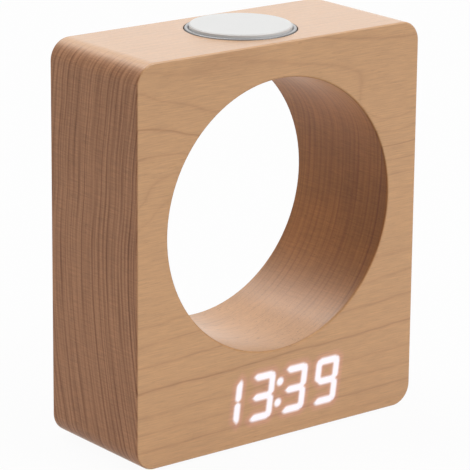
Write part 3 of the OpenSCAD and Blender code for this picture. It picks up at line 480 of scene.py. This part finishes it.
strokes = []
for count, letters in enumerate(("bc", "abcdg", "abcdg", "abcdfg")):
    digit_x = (count - (DIGITS - 1) / 2) * DIGIT_STEP
    strokes += [core_stroke(digit_x, letter) for letter in letters]
for side in (-1, 1):
    deselect()
    dot_x = GLOW_X + DOTS_X + side * DOTS_RISE * STROKE_LEAN
    bpy.ops.mesh.primitive_cylinder_add(
        vertices=40, radius=(DOT_RADIUS - INSET) * MM, depth=2 * SKIN * MM,
        location=Vector((dot_x, FRONT, GLOW_Z + side * DOTS_RISE)) * MM,
        rotation=(math.pi / 2, 0, 0))
    bpy.ops.object.transform_apply(location=True, rotation=True, scale=True)
    strokes.append(bpy.context.object)
deselect()
for stroke in strokes:
    stroke.select_set(True)
bpy.context.view_layer.objects.active = strokes[0]
bpy.ops.object.join()
digit_glow = bpy.context.object
digit_glow.name = digit_glow.data.name = "digit_glow"
bpy.ops.object.transform_apply(location=True, rotation=True, scale=True)
digit_glow.data.materials.clear()
digit_glow.data.materials.append(glow.material)
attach(digit_glow, "case")
deselect()

# ---- Display behind the wood ----
# A white moulded body with milky resin in its segments, bare yellow chips, a light film in
# front and a small board with steel pins behind. None of it shows from outside.
film = Finish("light_film")
fog = film.grain((1.2, 1.2, 1.2), detail=3.0)
film.set(Base_Color=film.mix(fog + 0.5, srgb(232, 232, 229), srgb(242, 242, 240)),
         Roughness=0.68 + fog * 0.15)
film.on("light_film")
shell = Finish("display_shell")
shell_grain = shell.grain((0.6, 0.6, 0.6), detail=3.0)
shell.set(Base_Color=shell.mix(shell_grain + 0.5, srgb(226, 226, 222), srgb(238, 238, 234)),
          Roughness=0.45 + shell_grain * 0.2, Normal=shell.bump(shell_grain, 0.01, 0.5))
shell.on("display_reflector")
resin_on = Finish("resin_lit", Roughness=0.3, Emission_Strength=1.0)
lit_cloud = resin_on.grain((0.9, 0.9, 0.9), detail=3.0)
resin_on.set(Base_Color=resin_on.tint(srgb(245, 240, 241), 1 + lit_cloud * 0.1),
             Emission_Color=resin_on.tint((0.95, 0.90, 0.92), 1 + lit_cloud * 0.15))
resin_on.on("lit_segments")
resin_off = Finish("resin_unlit", Roughness=0.3)
unlit_cloud = resin_off.grain((0.9, 0.9, 0.9), detail=3.0)
resin_off.set(Base_Color=resin_off.tint(srgb(214, 213, 208), 1 + unlit_cloud * 0.1))
resin_off.on("dark_segments")
phosphor = Finish("chip_phosphor", Roughness=0.5)
phosphor_grain = phosphor.grain((0.12, 0.12, 0.12))
phosphor.set(Base_Color=phosphor.tint(srgb(222, 190, 84), 1 + phosphor_grain * 0.3))
phosphor.on("led_chips")
steel = Finish("plated_steel", Metallic=1.0)
steel_grain = steel.grain((0.35, 0.35, 0.35))
steel.set(Base_Color=steel.tint(srgb(202, 202, 205), 1 + steel_grain * 0.1),
          Roughness=0.3 + steel_grain * 0.15)
steel.on("display_pins")

# ---- Top button ----
# A flat aluminium cap, fine-blasted and anodised, in a turned ring. It is pushed down
# against a coil spring and a small switch on a round board, all held in a moulded cup.
blasted = Finish("blasted_aluminium", Metallic=0.12)
blast = blasted.grain((0.14, 0.14, 0.14), detail=3.0, roughness=0.6)
cloud = blasted.grain((9, 9, 9), detail=1.0)
blasted.set(Base_Color=blasted.tint(srgb(221, 221, 220), 1 + blast * 0.08 + cloud * 0.03),
            Roughness=0.5 + blast * 0.12, Normal=blasted.bump(blast, 0.008, 0.5))
blasted.on("button_cap")

# The lathe's fine grooves, in radians to a millimetre, and how wide the painted shade at the
# ring's outer edge is, with its soft inner side
GROOVES = 90
EDGE_LINE, EDGE_SOFT = 0.35, 0.3
turned = Finish("turned_ring", Metallic=0.5)
ring_x = turned.part(turned.spot, "X") - SEAT_X
ring_y = turned.part(turned.spot, "Y") - SEAT_Y
ring_radius = (ring_x * ring_x + ring_y * ring_y).root()
groove = (ring_radius * GROOVES).sine()
# A dark line of painted shade at the ring's outer edge, where it drops into the seat.
edge_from = SEAT_RADIUS - EDGE_LINE
painted_edge_shade = ring_radius.step(edge_from - EDGE_SOFT, edge_from)
turned.set(Base_Color=turned.tint(srgb(180, 180, 181), 1 + groove * 0.05 - painted_edge_shade * 0.55),
           Roughness=0.34 + groove * 0.03, Normal=turned.bump(groove, 0.004, 0.4))
turned.on("button_bezel")

moulded = Finish("moulded_black")
texture = moulded.grain((0.16, 0.16, 0.16), detail=3.0, roughness=0.6)
moulded.set(Base_Color=moulded.mix(texture + 0.5, srgb(42, 42, 44), srgb(58, 58, 60)),
            Roughness=0.52 + texture * 0.15, Normal=moulded.bump(texture, 0.02, 0.6))
moulded.on("button_cup")
steel.on("button_spring", "cup_screws")

# ---- Feet ----
# Four moulded rubber discs, glued into shallow seats under the block, so that it doesn't
# slide on the table or mark it.
rubber = Finish("foot_rubber", Roughness=0.8)
rubber_grain = rubber.grain((0.22, 0.22, 0.22), detail=3.0)
rubber.set(Base_Color=rubber.mix(rubber_grain + 0.5, srgb(46, 46, 48), srgb(64, 64, 66)),
           Normal=rubber.bump(rubber_grain, 0.03, 0.6))
rubber.on("feet")

# ---- Back housing and battery door ----
# A housing of the same black plastic as the button's cup, screwed into the pocket at the
# back. It holds the battery compartment with its steel contacts and its hinged door.
moulded.on("back_housing", "battery_door")
steel.on("housing_screws", "panel_screws", "spring_contacts", "plate_contacts")

# ---- Keys and alarm knob ----
# Small moulded keys and a ribbed slide knob, a shade lighter than the housing. The button's
# plunger is moulded of the same plastic.
key_plastic = Finish("key_plastic")
key_grain = key_plastic.grain((0.18, 0.18, 0.18))
key_plastic.set(
    Base_Color=key_plastic.mix(key_grain + 0.5, srgb(88, 88, 91), srgb(108, 108, 111)),
    Roughness=0.45 + key_grain * 0.1, Normal=key_plastic.bump(key_grain, 0.01, 0.5))
key_plastic.on("set_key", "up_key", "down_key", "alarm_knob", "button_plunger")

# ---- Boards and what is soldered to them ----
# Glass-fibre boards under green resist, black moulded chips and switches, the capacitor's
# rolled aluminium can, nylon lead sockets, and a metal shell round the power inlet.
# The glass threads are given in radians to a millimetre.
THREADS = 9
board = Finish("circuit_board")
weave = ((board.part(board.spot, "X") * THREADS).sine()
         * (board.part(board.spot, "Z") * THREADS).sine())
board_grain = board.grain((1.2, 1.2, 1.2), detail=3.0) + weave * 0.12
board.set(Base_Color=board.mix(board_grain + 0.5, srgb(18, 84, 42), srgb(32, 108, 58)),
          Roughness=0.36 + weave * 0.04)
board.on("main_board", "display_substrate", "key_board", "power_board", "button_board")
chip_black = Finish("chip_moulding")
chip_grain = chip_black.grain((0.12, 0.12, 0.12))
chip_black.set(Base_Color=chip_black.mix(chip_grain + 0.5, srgb(28, 28, 29), srgb(46, 46, 47)),
               Roughness=0.6 + chip_grain * 0.1)
chip_black.on("clock_chip", "driver_chip", "regulator", "buzzer", "key_switches",
              "alarm_switch", "button_switch", "usb_tongue")
can = Finish("aluminium_can", Metallic=1.0)
rolled = can.grain((0.1, 3, 0.1))
can.set(Base_Color=can.tint(srgb(204, 206, 210), 1 + rolled * 0.12),
        Roughness=0.3 + rolled * 0.12)
can.on("capacitor")
nylon = Finish("natural_nylon")
nylon_cloud = nylon.grain((1.4, 1.4, 1.4))
nylon.set(Base_Color=nylon.tint(srgb(232, 226, 205), 1 + nylon_cloud * 0.08),
          Roughness=0.5 + nylon_cloud * 0.1)
nylon.on("lead_sockets")
steel.on("board_screws", "crystal", "usb_shell")

# ---- Leads ----
# Round wires in soft insulation, and flat cables between the boards. A flat cable has one
# ridge over each of its wires, a millimetre apart.
for name, color, wires in (("black_insulation", srgb(34, 34, 36), "button_lead"),
                           ("red_insulation", srgb(168, 34, 28), "battery_lead")):
    insulation = Finish(name)
    scuff = insulation.grain((1.5, 1.5, 1.5))
    insulation.set(Base_Color=insulation.tint(color, 1 + scuff * 0.25),
                   Roughness=0.45 + scuff * 0.1)
    insulation.on(wires)
flat_cable = Finish("flat_cable", Roughness=0.45)
ridges = abs((flat_cable.part(flat_cable.spot, "Z") * math.pi).sine())
# The grooves between the ridges are darkened with painted shade.
flat_cable.set(Base_Color=flat_cable.tint(srgb(172, 172, 174), 0.8 + ridges * 0.2),
               Normal=flat_cable.bump(ridges, 0.2, 0.8))
flat_cable.on("ribbon_cables")

# ---- Battery cells ----
# Four AAA cells with plain printed sleeves that leave their metal ends bare. They lie in
# the compartment behind the door.
BARE_END = 1.6
CELLS_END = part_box("battery_cells")[1].x / MM
sleeve = Finish("cell_sleeve")
from_middle = abs(sleeve.part(sleeve.spot, "X"))
bare = (from_middle - (CELLS_END - BARE_END)).step(0, 0.05)
print_grain = sleeve.grain((3, 0.5, 0.5))
printed = sleeve.mix(bare, srgb(176, 132, 52), srgb(205, 205, 208))
sleeve.set(Base_Color=sleeve.tint(printed, 1 + print_grain * 0.12),
           Metallic=0.35 + bare * 0.6, Roughness=0.35 + print_grain * 0.1)
sleeve.on("battery_cells")

# ---- Floor and light ----
# A pale floor that shows as plain white with the block's soft shadow, a large soft lamp
# high in front on the right, one behind, and a pale room. Sizes and places are in metres.
FLOOR_SIZE = 6
WHITE = (1, 1, 1)
PAPER = (0.72, 0.72, 0.72)
PAPER_WHITE = 0.95
ROOM_LIGHT = 0.36
LAMP_SIZE = 1.2
AIM = Vector((0, 0, 0.06))


def looked_at(recipe):
    """1 where it is seen, also in gloss or through glass, and 0 where it only gives light."""
    camera_ray, glossy_ray, through_ray = (
        recipe.node("ShaderNodeLightPath", {}, {}, ray)
        for ray in ("Is Camera Ray", "Is Glossy Ray", "Is Transmission Ray"))
    return camera_ray.upper(glossy_ray).upper(through_ray)


bpy.ops.mesh.primitive_plane_add(size=FLOOR_SIZE, location=(0, 0, 0))
floor = bpy.context.object
floor.name = "floor"
paper = Finish("floor_paper", Base_Color=PAPER, Roughness=0.9, Specular_IOR_Level=0.2)
white = paper.node("ShaderNodeEmission", {}, {"Color": WHITE, "Strength": 1.0})
lit_paper = Wire(paper, paper.shader.outputs[0])
inputs = {0: looked_at(paper) * PAPER_WHITE, 1: lit_paper, 2: white}
mixed = paper.node("ShaderNodeMixShader", {}, inputs)
paper.put(paper.tree.nodes["Material Output"].inputs["Surface"], mixed)
floor.data.materials.append(paper.material)

for name, place, watts in (("key_lamp", Vector((0.76, -1.12, 1.52)), 17.8),
                           ("back_lamp", Vector((-0.20, 1.00, 1.78)), 18.6)):
    lamp_data = bpy.data.lights.new(name, "AREA")
    lamp_data.shape, lamp_data.size, lamp_data.energy = "SQUARE", LAMP_SIZE, watts
    lamp = bpy.data.objects.new(name, lamp_data)
    bpy.context.scene.collection.objects.link(lamp)
    lamp.location = place
    lamp.rotation_euler = (AIM - place).to_track_quat("-Z", "Y").to_euler()

world = bpy.data.worlds.new("room")
bpy.context.scene.world = world
world.use_nodes = True
room = Recipe(world.node_tree)
inputs = {"Value": looked_at(room), "To Min": ROOM_LIGHT, "To Max": 1.0}
background = room.tree.nodes["Background"]
room.put(background.inputs["Color"], WHITE)
room.put(background.inputs["Strength"], room.node("ShaderNodeMapRange", {}, inputs))
bpy.context.scene.view_settings.view_transform = "Standard"
